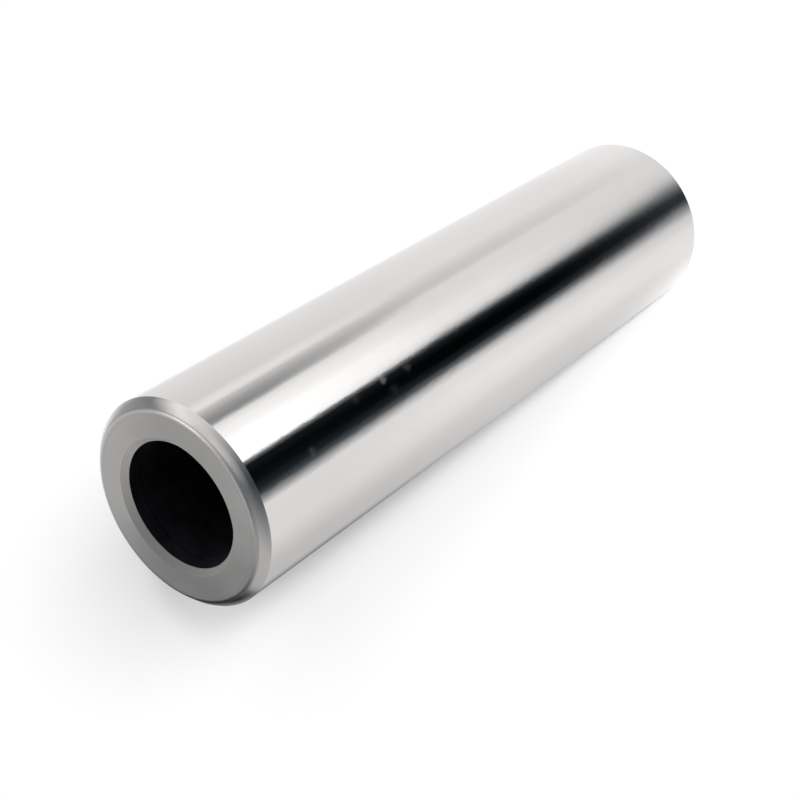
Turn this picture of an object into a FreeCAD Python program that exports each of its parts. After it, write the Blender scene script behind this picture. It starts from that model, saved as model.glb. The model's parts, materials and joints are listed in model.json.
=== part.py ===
# Gudgeon pin: the plain hollow steel pin that joins a piston to its connecting rod.
# It is turned, drilled through and ground as one piece, and both ends are alike.
# It stands on one end: the axis is +Z and the origin is the centre of the lower end.
# Lengths are in millimetres and angles in degrees.

import FreeCAD, Part
import math
import os
import Sketcher

NODE = "gudgeon_pin"

# Each driving size: its name in the sheet, its value and what it measures.
SIZES = (
    ("outer_dia", 20.0, "ground and polished bearing diameter"),
    ("bore_dia", 12.2, "bore, right through"),
    ("pin_length", 78.0, "over the two end faces"),
    ("end_chamfer", 0.65, "outer chamfer of each end, along the axis"),
    ("end_chamfer_angle", 45.0, "outer chamfer's slope from the end face"),
    ("border_round", 0.6, "radius that rolls the end face into its chamfer"),
    ("lead_in_rise", 0.2, "lead-in cone from the chamfer to the bearing diameter, radially"),
    ("lead_in_length", 0.3, "lead-in cone, along the axis"),
    ("mouth_chamfer", 0.55, "45 degree chamfer of each bore mouth, each way"),
)

START = 1
END = 2
ORIGIN_POINT = (-1, 1)
ACROSS_AXIS = -1


def make_sheet(doc):
    sheet = doc.addObject("Spreadsheet::Sheet", "sizes")
    for row, (alias, value, meaning) in enumerate(SIZES, start=1):
        sheet.set(f"A{row}", alias)
        sheet.set(f"B{row}", str(value))
        sheet.set(f"C{row}", meaning)
        sheet.setAlias(f"B{row}", alias)
    doc.recompute()
    return sheet


def origin_plane(body, role):
    for feature in body.Origin.OriginFeatures:
        if feature.Role == role:
            return feature
    raise RuntimeError(f"no origin plane {role}")


def section_points(sheet):
    """Corners of half the section, from mid-length up to one end face, as (radius, height)."""
    bore_radius = sheet.bore_dia / 2
    outer_radius = sheet.outer_dia / 2
    face = sheet.pin_length / 2
    slope = math.radians(sheet.end_chamfer_angle)
    chamfer_rise = sheet.end_chamfer / math.tan(slope)
    chamfer_foot = face - sheet.end_chamfer
    crest_radius = outer_radius - sheet.lead_in_rise
    border_radius = crest_radius - chamfer_rise
    tangent_run = sheet.border_round * math.tan(slope / 2)
    return {
        "bore_middle": FreeCAD.Vector(bore_radius, 0, 0),
        "bore_end": FreeCAD.Vector(bore_radius, face - sheet.mouth_chamfer, 0),
        "mouth": FreeCAD.Vector(bore_radius + sheet.mouth_chamfer, face, 0),
        "face_edge": FreeCAD.Vector(border_radius - tangent_run, face, 0),
        "round_centre": FreeCAD.Vector(border_radius - tangent_run, face - sheet.border_round, 0),
        "chamfer_top": FreeCAD.Vector(
            border_radius + tangent_run * math.cos(slope), face - tangent_run * math.sin(slope), 0
        ),
        "chamfer_foot": FreeCAD.Vector(crest_radius, chamfer_foot, 0),
        "bearing_end": FreeCAD.Vector(outer_radius, chamfer_foot - sheet.lead_in_length, 0),
        "bearing_middle": FreeCAD.Vector(outer_radius, 0, 0),
    }


def draw_section(sketch, sheet):
    """One end's half of the tube wall, closed along the pin's middle plane."""
    at = section_points(sheet)
    slope = math.radians(sheet.end_chamfer_angle)

    def line(first, last):
        return sketch.addGeometry(Part.LineSegment(at[first], at[last]), False)

    bore = line("bore_middle", "bore_end")
    mouth = line("bore_end", "mouth")
    face = line("mouth", "face_edge")
    circle = Part.Circle(at["round_centre"], FreeCAD.Vector(0, 0, 1), sheet.border_round)
    border = sketch.addGeometry(Part.ArcOfCircle(circle, math.pi / 2 - slope, math.pi / 2), False)
    chamfer = line("chamfer_top", "chamfer_foot")
    lead_in = line("chamfer_foot", "bearing_end")
    bearing = line("bearing_end", "bearing_middle")
    middle = line("bearing_middle", "bore_middle")

    corners = ((bore, mouth), (mouth, face), (chamfer, lead_in), (lead_in, bearing), (bearing, middle), (middle, bore))
    for before, after in corners:
        sketch.addConstraint(Sketcher.Constraint("Coincident", before, END, after, START))
    sketch.addConstraint(Sketcher.Constraint("Tangent", face, END, border, END))
    sketch.addConstraint(Sketcher.Constraint("Tangent", border, START, chamfer, START))
    sketch.addConstraint(Sketcher.Constraint("Vertical", bore))
    sketch.addConstraint(Sketcher.Constraint("Vertical", bearing))
    sketch.addConstraint(Sketcher.Constraint("Horizontal", face))
    sketch.addConstraint(Sketcher.Constraint("Horizontal", middle))
    sketch.addConstraint(Sketcher.Constraint("PointOnObject", middle, START, ACROSS_AXIS))

    def size(name, kind, where, value, expression):
        index = sketch.addConstraint(Sketcher.Constraint(kind, *where, value))
        sketch.renameConstraint(index, name)
        sketch.setExpression(f"Constraints.{name}", expression)

    size("bore_radius", "DistanceX", (*ORIGIN_POINT, bore, START), sheet.bore_dia / 2, "sizes.bore_dia / 2")
    size("outer_radius", "DistanceX", (*ORIGIN_POINT, middle, START), sheet.outer_dia / 2, "sizes.outer_dia / 2")
    size("half_length", "DistanceY", (*ORIGIN_POINT, face, START), sheet.pin_length / 2, "sizes.pin_length / 2")
    size("mouth_width", "DistanceX", (mouth, START, mouth, END), sheet.mouth_chamfer, "sizes.mouth_chamfer")
    size("mouth_depth", "DistanceY", (mouth, START, mouth, END), sheet.mouth_chamfer, "sizes.mouth_chamfer")
    size("border_radius", "Radius", (border,), sheet.border_round, "sizes.border_round")
    size("chamfer_depth", "DistanceY", (chamfer, END, face, END), sheet.end_chamfer, "sizes.end_chamfer")
    size("chamfer_slope", "Angle", (chamfer, END, face, END), slope, "sizes.end_chamfer_angle")
    size("lead_in_width", "DistanceX", (lead_in, START, lead_in, END), sheet.lead_in_rise, "sizes.lead_in_rise")
    size("lead_in_depth", "DistanceY", (lead_in, END, lead_in, START), sheet.lead_in_length, "sizes.lead_in_length")


def make_pin(doc, sheet):
    body = doc.addObject("PartDesign::Body", NODE)
    body.Label = NODE

    section = body.newObject("Sketcher::SketchObject", "end_section")
    section.AttachmentSupport = [(origin_plane(body, "XZ_Plane"), "")]
    section.MapMode = "FlatFace"
    draw_section(section, sheet)

    turned_end = body.newObject("PartDesign::Revolution", "turned_end")
    turned_end.Profile = section
    turned_end.ReferenceAxis = (section, ["V_Axis"])
    turned_end.Angle = 360.0
    section.Visibility = False

    both_ends = body.newObject("PartDesign::Mirrored", "both_ends")
    both_ends.Originals = [turned_end]
    both_ends.MirrorPlane = (origin_plane(body, "XY_Plane"), [""])
    both_ends.Refine = True
    body.Tip = both_ends

    # The body is drawn about its middle plane, so it is lifted to stand on its lower end.
    body.Placement = FreeCAD.Placement(FreeCAD.Vector(0, 0, sheet.pin_length / 2), FreeCAD.Rotation())
    body.setExpression("Placement.Base.z", "sizes.pin_length / 2")
    return body


def check(doc, parts):
    for item in doc.Objects:
        if "Invalid" in item.State or "Error" in item.State:
            raise RuntimeError(f"{item.Name} failed: {item.State}")
    for part in parts:
        if part.Shape.isNull() or not part.Shape.isValid() or len(part.Shape.Solids) != 1:
            raise RuntimeError(f"{part.Label} is not one sound solid")


def main():
    doc = FreeCAD.newDocument("gudgeon_pin_model")
    sheet = make_sheet(doc)
    parts = [make_pin(doc, sheet)]
    doc.recompute()
    check(doc, parts)
    os.makedirs("parts", exist_ok=True)
    for part in parts:
        part.Shape.exportStep(f"parts/{part.Label}.step")
        box = part.Shape.BoundBox
        print(part.Label, "box", box, "volume", round(part.Shape.Volume, 3), "faces", len(part.Shape.Faces))


main()
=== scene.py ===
# A gudgeon pin standing on its end: mirror-polished outside, satin end faces, dark bore.
# Metres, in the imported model's frame: the axis is +Z and the lower end face lies at z = 0.
import json
import math

import bpy
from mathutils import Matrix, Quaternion, Vector


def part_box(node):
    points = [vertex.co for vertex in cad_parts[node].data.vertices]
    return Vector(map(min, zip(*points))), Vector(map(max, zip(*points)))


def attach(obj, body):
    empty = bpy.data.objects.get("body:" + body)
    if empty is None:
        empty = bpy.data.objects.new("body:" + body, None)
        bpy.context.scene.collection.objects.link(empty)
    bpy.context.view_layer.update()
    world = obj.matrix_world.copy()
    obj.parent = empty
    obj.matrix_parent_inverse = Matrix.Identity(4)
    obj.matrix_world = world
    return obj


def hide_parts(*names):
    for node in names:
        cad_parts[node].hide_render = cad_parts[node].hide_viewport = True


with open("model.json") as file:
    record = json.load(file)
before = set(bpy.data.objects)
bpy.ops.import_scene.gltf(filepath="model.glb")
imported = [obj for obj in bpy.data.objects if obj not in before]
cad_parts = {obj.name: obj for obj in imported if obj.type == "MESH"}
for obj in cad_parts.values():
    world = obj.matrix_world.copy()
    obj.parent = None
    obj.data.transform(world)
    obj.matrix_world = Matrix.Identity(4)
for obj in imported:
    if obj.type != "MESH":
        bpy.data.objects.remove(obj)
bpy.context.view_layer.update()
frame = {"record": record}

MM = 0.001
NODE = "gudgeon_pin"

# ---- the pin, in millimetres: the mounts and the box give the main sizes ----
MOUNTS = {mount["name"]: mount["dims"] for mount in frame["record"]["mounts"]}
PIN_LENGTH = round((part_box(NODE)[1].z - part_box(NODE)[0].z) / MM, 3)
OUTER_R = MOUNTS["journal"]["r_mm"]
BORE_R = MOUNTS["bore"]["r_mm"]
MOUTH_CHAMFER = (PIN_LENGTH - MOUNTS["bore"]["length_mm"]) / 2
EDGE_LENGTH = (PIN_LENGTH - MOUNTS["journal"]["length_mm"]) / 2     # chamfer and lead-in together
END_CHAMFER = 0.65          # at 45 degrees
LEAD_IN_RISE = 0.2          # radially
BORDER_ROUND = 0.6          # rolls the end face into its chamfer
BROKEN_EDGE = 0.05          # the radius that grinding leaves on every other edge
SEGMENTS = 320              # round the pin
ARC_STEP = 5.0              # degrees between the rings of a rounded edge
LONGEST_QUAD = 4.0
# A rounded edge has the finish of one of the two sides that it joins: the one that comes first here.
ARC_FINISHES = ("mouth", "bore", "end_face", "journal", "edge")

# ---- finishes, in millimetres and in degrees round the pin from the camera's side ----
STEEL = (0.785, 0.78, 0.77)
DUSTY = (0.60, 0.65, 0.67)
DUST = (
    # angle, height, radius, share of the steel that it covers
    (-1.5, 58.7, 0.6, 0.08), (-3.0, 55.2, 0.7, 0.017), (-1.2, 62.8, 0.8, 0.012), (-12.5, 70.0, 0.55, 0.018),
    (-9.0, 58.0, 0.9, 0.005),
)
DUST_EDGE = 0.15            # how ragged a speck's edge is, as a share of its radius
RIPPLES = ((130.0, 0.02), (600.0, 0.005), (1800.0, 0.003))     # waves per metre, depth
CROWN = 0.035               # how far the middle of the end chamfer stands proud, as shading
# Both are painted sheen and shade: they lighten and darken the colour of the end faces and mouths round the
# axis. They were fitted to the brightness of the photo's near end, so they hold some of its light.
FACE_PAINTED_SHEEN = ((0.13, 2, -41.0), (0.04, 1, 99.0))               # amount, crests per turn, angle of one crest
MOUTH_PAINTED_SHEEN = ((0.28, 1, 108.0), (0.17, 2, 105.0))
BRIGHTEST = (0.95, 0.95, 0.95)                                 # that the painted sheen may make a colour

# ---- camera, in millimetres and degrees, fitted to the pin's outline in the photo ----
CAMERA_AT = (0.0, -105.12, 151.14)
CAMERA_AIM = (-2.94, -0.08, 48.56)
CAMERA_ROLL = 123.7         # turned towards its own right, so the pin lies across the picture
LENS = 66.61
SENSOR = 36.0
CLIP_START, CLIP_END = 5.0, 20000.0

# ---- light ----
PLAIN_LEVEL = 0.11          # the world, on matt surfaces
SUNS = (
    # A fit to the photo's shadow gave these numbers.
    # name, azimuth (0 is the camera's side, + towards +X), elevation, strength on the floor, angular size
    ("key_sun", 6.2, 36.4, 0.226, 5.3),
    ("low_sun", 3.5, 27.9, 0.462, 11.9),
    ("side_sun", 14.2, 35.6, 0.15, 11.8),
    ("narrow_sun", 6.6, 32.4, 0.152, 2.1),
)
FLOOR_COLOUR = 0.92
FLOOR_HALF = 6000.0         # half its side, in millimetres
FLOOR_DROP = 0.02           # keeps it clear of the face that stands on it

# What the polished steel mirrors: rings of cards round the pin, as (azimuth, display level in the steel).
# The levels follow the brightness of the pin in the photo, read off by direction and adjusted.
# The three walls below the horizon show in the pin's upper end, middle and foot.
UPPER_END_WALL = (
    (-180, 0.08), (-174, 0.15), (-169, 0.34), (-164, 0.46), (-157, 0.54), (-143, 0.70), (-115, 0.73),
    (-82, 0.83),
    # the black card
    (-46, 0.84), (-40, 0.61), (-34, 0.27), (-28, 0.13), (-20, 0.05), (-12, 0.03), (-2.2, 0.09),
    # the white card, then its grey frame
    (1.3, 0.45), (3.7, 1.03), (26, 1.03), (34, 0.965), (42, 0.93),
    (48, 0.86), (51.8, 0.59), (55, 0.52), (62, 0.60), (70, 0.74), (74, 0.87), (78, 0.88), (87, 0.81),
    (125, 0.84), (148, 0.84), (170, 0.91),
)
MIDDLE_WALL = (
    (-180, 0.54), (-172, 0.64), (-165, 0.70), (-140, 0.75), (-100, 0.81), (-85, 0.86), (-65, 0.89),
    (-46, 0.86), (-40, 0.735), (-34, 0.38), (-28, 0.125), (-20, 0.015), (-11, 0.015), (-6, 0.07), (-2, 0.15),
    (1, 0.38), (4, 0.66), (8, 0.845), (14, 0.905), (26, 0.895), (32, 0.87), (42, 0.85),
    (54, 0.84), (59, 0.765), (65, 0.765), (73, 0.80), (84, 0.85), (125, 0.855), (150, 0.865), (170, 0.895),
)
FOOT_WALL = (
    (-180, 1.02), (-165, 1.11), (-140, 1.10), (-118, 1.0), (-100, 0.90), (-60, 0.865),
    (-43, 0.78), (-37, 0.65), (-30, 0.49), (-24, 0.31), (-18, 0.18), (-10, 0.20),
    (-4, 0.32), (0, 0.42), (4, 0.49), (10, 0.63), (16, 0.73), (24, 0.795), (40, 0.83),
    (60, 0.835), (100, 0.89), (135, 0.92), (170, 0.95),
)
# The three higher walls show in the lead-in, the chamfer and the round of the end face.
LEAD_IN_WALL = (
    (-180, 0.44), (-171, 0.34), (-163, 0.08), (-144, 0.08), (-134, 0.36), (-126, 0.70), (-90, 0.73),
    (-62, 0.55), (-38, 0.37), (-19, 0.22), (-2, 0.37), (16, 0.58), (33, 0.68), (55, 0.86), (70, 0.90),
    (82, 0.98), (92, 0.86), (110, 0.50), (140, 0.63), (155, 0.80), (170, 0.93),
)
CHAMFER_WALL = (
    (-180, 0.84), (-150, 0.74), (-119, 0.70), (-92, 0.69), (-67, 0.57), (-44, 0.47), (-23, 0.41),
    (-2, 0.61), (19, 0.76), (40, 0.82), (63, 0.80), (75, 0.84), (86, 0.96), (102, 1.07), (122, 0.92),
    (140, 0.78), (157, 0.81), (174, 0.95),
)
OVERHEAD_WALL = (
    (-180, 0.46), (-138, 0.40), (-100, 0.34), (-60, 0.30), (-20, 0.29), (0, 0.36), (20, 0.55), (50, 0.70),
    (90, 0.78), (140, 0.70), (165, 0.60),
)
COLD_BELOW = 0.6            # the level under which a card turns to a cold grey
WARM, LESS_RED, MORE_BLUE = 1.012, 0.21, 0.18

# How the walls follow each other, by elevation.
UPPER_END_DIP, MIDDLE_DIP, FOOT_DIP = -38.5, -47.2, -57.2
MIDDLE_EASE = 1.5           # a power: the higher, the later a wall takes over from the one before
FOOT_EASE, LATE_FOOT_EASE = 1.2, 4.0
BLACK_CARD_AT = -17.0       # the foot wall comes late in the middle of the black card,
BLACK_CARD_REACH = (10.0, 18.0)
SIDE_AZIMUTHS = (60.0, 110.0)       # and far round to both sides
FLOOR_CARDS = ((0.80, -57.8, -60.8), (0.50, -70.0, -78.0))     # level, start, full: lit, then in shade
HIGHER_WALLS = ((LEAD_IN_WALL, -26.0, -6.0), (CHAMFER_WALL, 34.0, 48.0), (OVERHEAD_WALL, 59.0, 70.0))

# A small lamp that glints in the round of the end face.
GLINT_AZIMUTH, GLINT_ELEVATION = 122.0, 60.0
GLINT_RADIUS, GLINT_RIM = 9.0, 14.0         # degrees, without and with its soft rim
GLINT_GLOW = 3.2


# ---- small helpers ----
def linear(level):
    """Scene brightness of a display level from 0 to 1."""
    return level / 12.92 if level <= 0.04045 else ((level + 0.055) / 1.055) ** 2.4


def card_glow(level):
    """Brightness of a card that the steel shows at this display level."""
    return linear(level) / STEEL[1]


def rgba(colour, scale=1.0):
    return (*(channel * scale for channel in colour), 1)


def grey(level):
    return (level, level, level, 1)


def steer(azimuth, elevation):
    """Unit vector towards a direction in the studio."""
    a, e = math.radians(azimuth), math.radians(elevation)
    return Vector((math.sin(a) * math.cos(e), -math.cos(a) * math.cos(e), math.sin(e)))


class Graph:
    """A node tree with one call per node."""

    def __init__(self, tree):
        self.tree = tree
        tree.nodes.clear()

    def add(self, kind, inputs=None, **settings):
        node = self.tree.nodes.new(kind)
        for name, value in settings.items():
            setattr(node, name, value)
        for name, value in (inputs or {}).items():
            if isinstance(value, bpy.types.NodeSocket):
                self.tree.links.new(value, node.inputs[name])
            else:
                node.inputs[name].default_value = value
        return node

    def math(self, operation, first, second=0.0, clamp=False):
        inputs = {0: first, 1: second}
        return self.add("ShaderNodeMath", inputs, operation=operation, use_clamp=clamp).outputs[0]

    def average(self, first, second):
        return self.math("ADD", self.math("MULTIPLY", first, 0.5), self.math("MULTIPLY", second, 0.5))

    def vector(self, operation, inputs):
        return self.add("ShaderNodeVectorMath", inputs, operation=operation).outputs

    def remap(self, value, low, high, to_low=0.0, to_high=1.0, smooth=False):
        kind = "SMOOTHSTEP" if smooth else "LINEAR"
        inputs = {"Value": value, "From Min": low, "From Max": high, "To Min": to_low, "To Max": to_high}
        return self.add("ShaderNodeMapRange", inputs, interpolation_type=kind).outputs[0]

    def mix(self, factor, first, second):
        colours = {0: factor, 6: first, 7: second}       # the sockets of a colour mix
        return self.add("ShaderNodeMix", colours, data_type="RGBA").outputs[2]

    def noise(self, vector, scale, detail, roughness=0.5):
        inputs = {"Vector": vector, "Scale": scale, "Detail": detail, "Roughness": roughness}
        return self.add("ShaderNodeTexNoise", inputs).outputs[0]


# ---- the pin ----
def section():
    """Corners of the wall's section, anticlockwise: (radius, height, corner radius, zone of the next side)."""
    crest = OUTER_R - LEAD_IN_RISE
    border = crest - END_CHAMFER
    mouth = BORE_R + MOUTH_CHAMFER
    top = (
        (OUTER_R, PIN_LENGTH - EDGE_LENGTH, BROKEN_EDGE, "edge"),
        (crest, PIN_LENGTH - END_CHAMFER, BROKEN_EDGE, "edge"),
        (border, PIN_LENGTH, BORDER_ROUND, "end_face"),
        (mouth, PIN_LENGTH, BROKEN_EDGE, "mouth"),
        (BORE_R, PIN_LENGTH - MOUTH_CHAMFER, BROKEN_EDGE, "bore"),
    )
    zones = ("journal", "edge", "edge", "end_face", "mouth")
    foot = [(r, PIN_LENGTH - z, blend, zone) for (r, z, blend, _), zone in zip(top, zones)]
    return list(top) + foot[::-1]


def rounded_section():
    """Rings of the lathe as (radius, height, normal, zone of the faces that follow)."""
    corners = section()
    rings = []
    for index, (radius, height, blend, zone) in enumerate(corners):
        here = Vector((radius, height))
        before = (here - Vector(corners[index - 1][:2])).normalized()
        after = (Vector(corners[(index + 1) % len(corners)][:2]) - here).normalized()
        turn = before.angle(after)
        reach = blend * math.tan(turn / 2)
        start = here - before * reach
        normal = Vector((before.y, -before.x))
        centre = start - normal * blend
        first = math.atan2(normal.y, normal.x)
        steps = max(2, math.ceil(math.degrees(turn) / ARC_STEP))
        arc_zone = min(zone, corners[index - 1][3], key=ARC_FINISHES.index)
        for step in range(steps + 1):
            angle = first + turn * step / steps
            out = Vector((math.cos(angle), math.sin(angle)))
            rings.append((*(centre + out * blend), out, zone if step == steps else arc_zone))
    return rings


def split_long_sides(rings):
    """Adds rings along the straight sides, so that no quad is long and thin."""
    split = []
    for index, (radius, height, out, zone) in enumerate(rings):
        split.append((radius, height, out, zone))
        after = rings[(index + 1) % len(rings)]
        length = math.hypot(after[0] - radius, after[1] - height)
        pieces = math.ceil(length / LONGEST_QUAD)
        for piece in range(1, pieces):
            share = piece / pieces
            at = (radius + (after[0] - radius) * share, height + (after[1] - height) * share)
            split.append((*at, out, zone))
    return split


def turn_pin(finishes):
    """The pin as one closed skin, with a finish for each zone of its section."""
    rings = split_long_sides(rounded_section())
    spokes = [(math.sin(a), -math.cos(a)) for a in (math.tau * s / SEGMENTS for s in range(SEGMENTS))]
    points, normals, faces, zones = [], [], [], []
    for index, (radius, height, out, zone) in enumerate(rings):
        here, above = index * SEGMENTS, (index + 1) % len(rings) * SEGMENTS
        for spoke, (x, y) in enumerate(spokes):
            points.append((x * radius * MM, y * radius * MM, height * MM))
            normals.append((x * out.x, y * out.x, out.y))
            beside = (spoke + 1) % SEGMENTS
            faces.append((here + spoke, here + beside, above + beside, above + spoke))
            zones.append(zone)
    mesh = bpy.data.meshes.new("turned_pin")
    mesh.from_pydata(points, [], faces)
    names = list(finishes)
    for name in names:
        mesh.materials.append(finishes[name])
    mesh.polygons.foreach_set("material_index", [names.index(zone) for zone in zones])
    mesh.polygons.foreach_set("use_smooth", [True] * len(faces))
    mesh.normals_split_custom_set_from_vertices(normals)
    mesh.update()
    pin = bpy.data.objects.new("turned_pin", mesh)
    bpy.context.collection.objects.link(pin)
    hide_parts(NODE)
    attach(pin, "root")
    return pin


# ---- finishes ----
def new_metal(name, colour, roughness):
    """A bare metal of one colour and roughness, which its nodes then vary."""
    material = bpy.data.materials.new(name)
    material.use_nodes = True
    graph = Graph(material.node_tree)
    inputs = {"Base Color": rgba(colour), "Metallic": 1.0, "Roughness": roughness}
    shader = graph.add("ShaderNodeBsdfPrincipled", inputs)
    graph.add("ShaderNodeOutputMaterial", {"Surface": shader.outputs[0]})
    place = graph.add("ShaderNodeTexCoord").outputs["Object"]
    return material, graph, shader, place


def dress(graph, shader, colour, roughness, relief, depth):
    """Feeds a metal's colour, roughness and bump; the relief is in units of this many millimetres."""
    links = graph.tree.links
    links.new(colour, shader.inputs["Base Color"])
    links.new(roughness, shader.inputs["Roughness"])
    inputs = {"Height": relief, "Distance": depth * MM, "Strength": 1.0}
    links.new(graph.add("ShaderNodeBump", inputs).outputs[0], shader.inputs["Normal"])


def polar(graph, place):
    """Radius and height of a point, in millimetres."""
    x, y, z = graph.add("ShaderNodeSeparateXYZ", {0: place}).outputs
    square = graph.math("ADD", graph.math("MULTIPLY", x, x), graph.math("MULTIPLY", y, y))
    return graph.math("MULTIPLY", graph.math("SQRT", square), 1 / MM), graph.math("MULTIPLY", z, 1 / MM)


def angle_round(graph, x, y):
    """Angle round the axis from the camera's side, in radians."""
    return graph.math("ARCTAN2", x, graph.math("MULTIPLY", y, -1.0))


def tool_marks(graph, along, pitch):
    """Fine uneven rings round the axis, from 0 to 1, at about this pitch in millimetres."""
    line = graph.add("ShaderNodeCombineXYZ", {0: along, 1: 0.0, 2: 0.0}).outputs[0]
    return graph.noise(line, 1 / pitch, 4.0, 0.65)


def dust_cover(graph, place):
    """Share of the steel that the dust specks cover."""
    fine = graph.noise(place, 1500.0, 2.0)
    cover = 0.0
    for angle, height, radius, most in DUST:
        a = math.radians(angle)
        spot = (OUTER_R * MM * math.sin(a), -OUTER_R * MM * math.cos(a), height * MM)
        away = graph.vector("DISTANCE", {0: place, 1: spot})["Value"]
        ragged = DUST_EDGE * radius * MM
        away = graph.math("ADD", away, graph.remap(fine, 0.3, 0.7, -ragged, ragged))
        cover = graph.math("MAXIMUM", cover, graph.remap(away, radius * MM, 0.0, 0.0, most, smooth=True))
    return cover


def polished_journal():
    """Ground and mirror-polished, with faint haze and a few dust specks."""
    material, graph, shader, place = new_metal("polished_journal", STEEL, 0.04)
    haze = graph.noise(place, 90.0, 4.0, 0.6)
    dust = dust_cover(graph, place)
    colour = graph.mix(graph.remap(haze, 0.35, 0.65), rgba(STEEL, 0.985), rgba(STEEL, 1.01))
    colour = graph.mix(graph.math("MULTIPLY", dust, 12.0, clamp=True), colour, rgba(DUSTY))
    roughness = graph.remap(haze, 0.3, 0.7, 0.02, 0.04)
    roughness = graph.math("ADD", roughness, graph.math("MULTIPLY", dust, 0.5))
    graph.tree.links.new(graph.math("SUBTRACT", 1.0, dust), shader.inputs["Metallic"])
    stretched = graph.add("ShaderNodeMapping", {"Vector": place, "Scale": (1.0, 1.0, 0.5)}).outputs[0]
    relief = 0.0
    for scale, depth in RIPPLES:
        ripple = graph.math("MULTIPLY", graph.noise(stretched, scale, 2.0), depth)
        relief = graph.math("ADD", ripple, relief)
    dress(graph, shader, colour, roughness, relief, 1.0)
    return material


def turned_edge():
    """Chamfer and lead-in: turned, then crowned and dulled a little by the polishing wheel."""
    material, graph, shader, place = new_metal("turned_edge", (0.66, 0.655, 0.645), 0.2)
    radius, height = polar(graph, place)
    half = PIN_LENGTH / 2
    from_middle = graph.math("ABSOLUTE", graph.math("SUBTRACT", height, half))
    slant = graph.math("SUBTRACT", from_middle, radius)          # grows across the chamfer, towards the end
    centre = (half - END_CHAMFER / 2) - (OUTER_R - LEAD_IN_RISE - END_CHAMFER / 2)
    share = graph.remap(slant, centre - END_CHAMFER, centre + END_CHAMFER, -1.0, 1.0)
    crown = graph.math("MULTIPLY", graph.math("MULTIPLY", share, share), -1.0)
    marks = tool_marks(graph, slant, 0.12)
    patches = graph.noise(place, 260.0, 3.0, 0.6)
    shade = graph.remap(graph.average(marks, patches), 0.35, 0.65)
    colour = graph.mix(shade, (0.60, 0.595, 0.585, 1), (0.70, 0.695, 0.685, 1))
    relief = graph.math("ADD", graph.math("MULTIPLY", crown, CROWN), graph.math("MULTIPLY", marks, 0.006))
    dress(graph, shader, colour, graph.remap(patches, 0.3, 0.7, 0.12, 0.2), relief, 1.0)
    return material


def painted_sheen_round(graph, place, waves):
    """About 1: painted sheen and shade, a factor that lightens and darkens the colour round the axis."""
    x, y, _ = graph.add("ShaderNodeSeparateXYZ", {0: place}).outputs
    angle = angle_round(graph, x, y)
    painted_sheen = 1.0
    for amount, crests, at in waves:
        turned = graph.math("SUBTRACT", graph.math("MULTIPLY", angle, crests), math.radians(at * crests))
        painted_sheen = graph.math("ADD", graph.math("MULTIPLY", graph.math("COSINE", turned), amount), painted_sheen)
    return painted_sheen


def satin(name, dark, light, dullness, waves):
    """Faced in the lathe and lightly ground: fine rings, a dull finish, and painted sheen and shade round the
    axis.
    """
    material, graph, shader, place = new_metal(name, light, dullness)
    radius, _ = polar(graph, place)
    marks = tool_marks(graph, radius, 0.45)
    patches = graph.noise(place, 180.0, 2.0)
    colour = graph.mix(graph.remap(graph.average(marks, patches), 0.3, 0.7), rgba(dark), rgba(light))
    # Painted sheen and shade: the colour is scaled lighter and darker round the axis.
    colour = graph.vector("SCALE", {0: colour, "Scale": painted_sheen_round(graph, place, waves)})[0]
    colour = graph.vector("MINIMUM", {0: colour, 1: BRIGHTEST})[0]
    roughness = graph.remap(patches, 0.3, 0.7, dullness - 0.03, dullness + 0.03)
    dress(graph, shader, colour, roughness, marks, 0.002)
    return material


def drilled_bore():
    """Drilled, with a near-black colour and faint drill rings."""
    material, graph, shader, place = new_metal("drilled_bore", (0.02, 0.02, 0.022), 0.6)
    _, height = polar(graph, place)
    marks = tool_marks(graph, height, 0.35)
    scale = graph.noise(place, 350.0, 4.0, 0.7)
    shade = graph.average(marks, scale)
    colour = graph.mix(graph.remap(shade, 0.35, 0.65), (0.030, 0.028, 0.038, 1), (0.075, 0.072, 0.088, 1))
    dress(graph, shader, colour, graph.remap(scale, 0.3, 0.7, 0.5, 0.72), shade, 0.02)
    return material


# ---- studio ----
def wall_ramp(graph, turn, wall):
    """A ring of cards round the pin, as the steel has to mirror them."""
    ramp = graph.add("ShaderNodeValToRGB", {0: turn})
    elements = ramp.color_ramp.elements
    while len(elements) > 1:
        elements.remove(elements[-1])
    for index, (azimuth, level) in enumerate((*wall, (180, wall[0][1]))):
        stop = elements[0] if index == 0 else elements.new((azimuth + 180) / 360)
        stop.position = (azimuth + 180) / 360
        glow = card_glow(level)
        cold = max(0.0, 1 - level / COLD_BELOW)
        stop.color = (glow * (WARM - LESS_RED * cold), glow, glow * (1 + MORE_BLUE * cold), 1)
    return ramp.outputs[0]


def lower_cards(graph, azimuth, turn, rise):
    """The three walls below the horizon, by azimuth and elevation."""
    to_middle = graph.math("POWER", graph.remap(rise, UPPER_END_DIP, MIDDLE_DIP), MIDDLE_EASE)
    from_black = graph.math("ABSOLUTE", graph.math("SUBTRACT", azimuth, math.radians(BLACK_CARD_AT)))
    from_front = graph.math("ABSOLUTE", azimuth)
    near, far = (math.radians(reach) for reach in BLACK_CARD_REACH)
    front, side = (math.radians(at) for at in SIDE_AZIMUTHS)
    ease = graph.math("MAXIMUM", graph.remap(from_black, near, far, LATE_FOOT_EASE, FOOT_EASE),
                      graph.remap(from_front, front, side, FOOT_EASE, LATE_FOOT_EASE))
    to_foot = graph.math("POWER", graph.remap(rise, MIDDLE_DIP, FOOT_DIP), ease)
    walls = (UPPER_END_WALL, MIDDLE_WALL, FOOT_WALL)
    upper_end, middle, foot = (wall_ramp(graph, turn, wall) for wall in walls)
    return graph.mix(to_foot, graph.mix(to_middle, upper_end, middle), foot)


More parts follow.
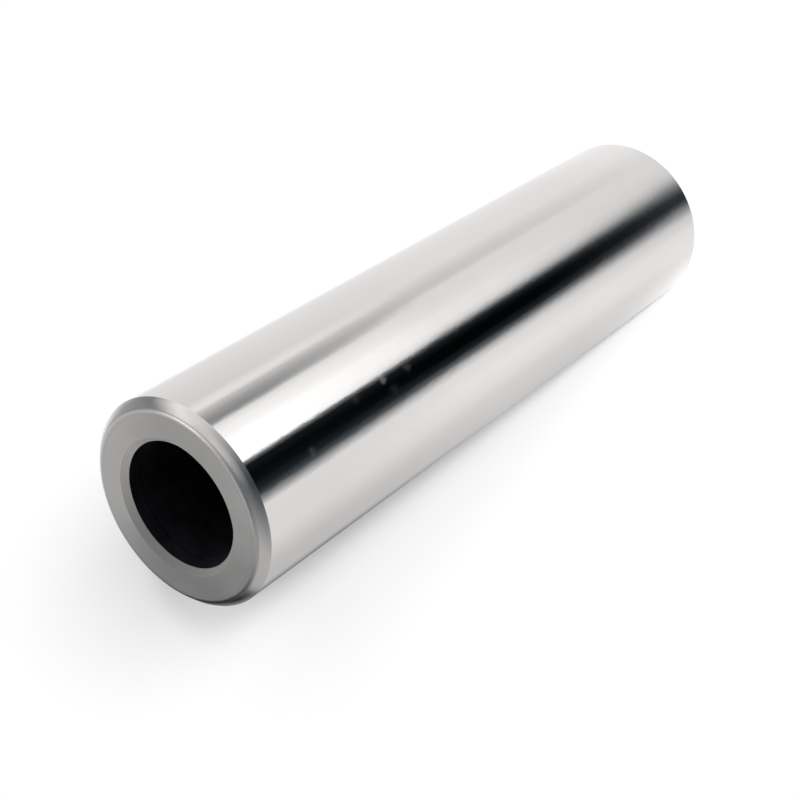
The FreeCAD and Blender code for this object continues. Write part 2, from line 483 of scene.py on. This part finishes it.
def all_cards(graph):
    """Everything that the steel mirrors."""
    place = graph.add("ShaderNodeTexCoord").outputs["Generated"]
    x, y, z = graph.add("ShaderNodeSeparateXYZ", {0: place}).outputs
    azimuth = angle_round(graph, x, y)
    turn = graph.math("ADD", graph.math("DIVIDE", azimuth, math.tau), 0.5)
    rise = graph.math("MULTIPLY", graph.math("ARCSINE", z), 180 / math.pi)
    cards = lower_cards(graph, azimuth, turn, rise)
    for level, start, full in FLOOR_CARDS:
        cards = graph.mix(graph.remap(rise, start, full), cards, grey(card_glow(level)))
    for wall, start, full in HIGHER_WALLS:
        cards = graph.mix(graph.remap(rise, start, full), cards, wall_ramp(graph, turn, wall))
    towards = graph.vector("DOT_PRODUCT", {0: place, 1: steer(GLINT_AZIMUTH, GLINT_ELEVATION)})["Value"]
    rim, disc = math.cos(math.radians(GLINT_RIM)), math.cos(math.radians(GLINT_RADIUS))
    return graph.mix(graph.remap(towards, rim, disc, smooth=True), cards, grey(GLINT_GLOW))


def build_world():
    """White to the camera, the cards to the steel, and one plain level to matt surfaces."""
    world = bpy.data.worlds.new("studio")
    bpy.context.scene.world = world
    world.use_nodes = True
    world.cycles.sampling_method = "NONE"
    graph = Graph(world.node_tree)
    cards = all_cards(graph)
    rays = graph.add("ShaderNodeLightPath").outputs
    mirrored = graph.math("MAXIMUM", rays["Is Glossy Ray"], rays["Is Transmission Ray"])
    seen = graph.math("MAXIMUM", rays["Is Camera Ray"], mirrored)
    backdrop = graph.mix(mirrored, grey(1), cards)
    colour = graph.mix(seen, grey(PLAIN_LEVEL), backdrop)
    sky = graph.add("ShaderNodeBackground", {"Color": colour, "Strength": 1.0})
    graph.add("ShaderNodeOutputWorld", {"Surface": sky.outputs[0]})


def build_suns():
    """Soft suns that only draw the shadow: the steel mirrors the cards instead."""
    for name, azimuth, elevation, level, size in SUNS:
        light = bpy.data.lights.new(name, "SUN")
        light.energy = level * math.pi / math.sin(math.radians(elevation))
        light.angle = math.radians(size)
        sun = bpy.data.objects.new(name, light)
        sun.rotation_mode = "QUATERNION"
        sun.rotation_quaternion = steer(azimuth, elevation).to_track_quat("Z", "Y")
        sun.location = steer(azimuth, elevation)
        sun.visible_glossy = False
        bpy.context.collection.objects.link(sun)


def build_floor():
    """A plain pale floor, which takes the shadow but isn't mirrored."""
    side, top = FLOOR_HALF * MM, -FLOOR_DROP * MM
    mesh = bpy.data.meshes.new("floor")
    mesh.from_pydata([(-side, -side, top), (side, -side, top), (side, side, top), (-side, side, top)],
                     [], [(0, 1, 2, 3)])
    floor = bpy.data.objects.new("floor", mesh)
    bpy.context.collection.objects.link(floor)
    floor.visible_glossy = False
    material = bpy.data.materials.new("pale_floor")
    material.use_nodes = True
    graph = Graph(material.node_tree)
    matt = graph.add("ShaderNodeBsdfDiffuse", {"Color": grey(FLOOR_COLOUR)})
    graph.add("ShaderNodeOutputMaterial", {"Surface": matt.outputs[0]})
    mesh.materials.append(material)


def build_camera():
    camera = bpy.data.objects.new("camera", bpy.data.cameras.new("camera"))
    camera.data.sensor_width = SENSOR
    camera.data.lens = LENS
    camera.data.clip_start = CLIP_START * MM
    camera.data.clip_end = CLIP_END * MM
    forward = (Vector(CAMERA_AIM) - Vector(CAMERA_AT)).normalized()
    roll = Quaternion(forward, math.radians(CAMERA_ROLL))
    camera.location = Vector(CAMERA_AT) * MM
    camera.rotation_mode = "QUATERNION"
    camera.rotation_quaternion = roll @ forward.to_track_quat("-Z", "Y")
    bpy.context.collection.objects.link(camera)
    bpy.context.scene.camera = camera


turn_pin({
    "journal": polished_journal(),
    "edge": turned_edge(),
    # Both satin finishes carry painted sheen and shade round the axis.
    "end_face": satin("satin_end_face", (0.446, 0.441, 0.431), (0.54, 0.535, 0.525), 0.34, FACE_PAINTED_SHEEN),
    "mouth": satin("deburred_mouth", (0.57, 0.563, 0.55), (0.66, 0.652, 0.64), 0.9, MOUTH_PAINTED_SHEEN),
    "bore": drilled_bore(),
})
build_world()
build_suns()
build_floor()
build_camera()
bpy.context.scene.view_settings.view_transform = "Standard"
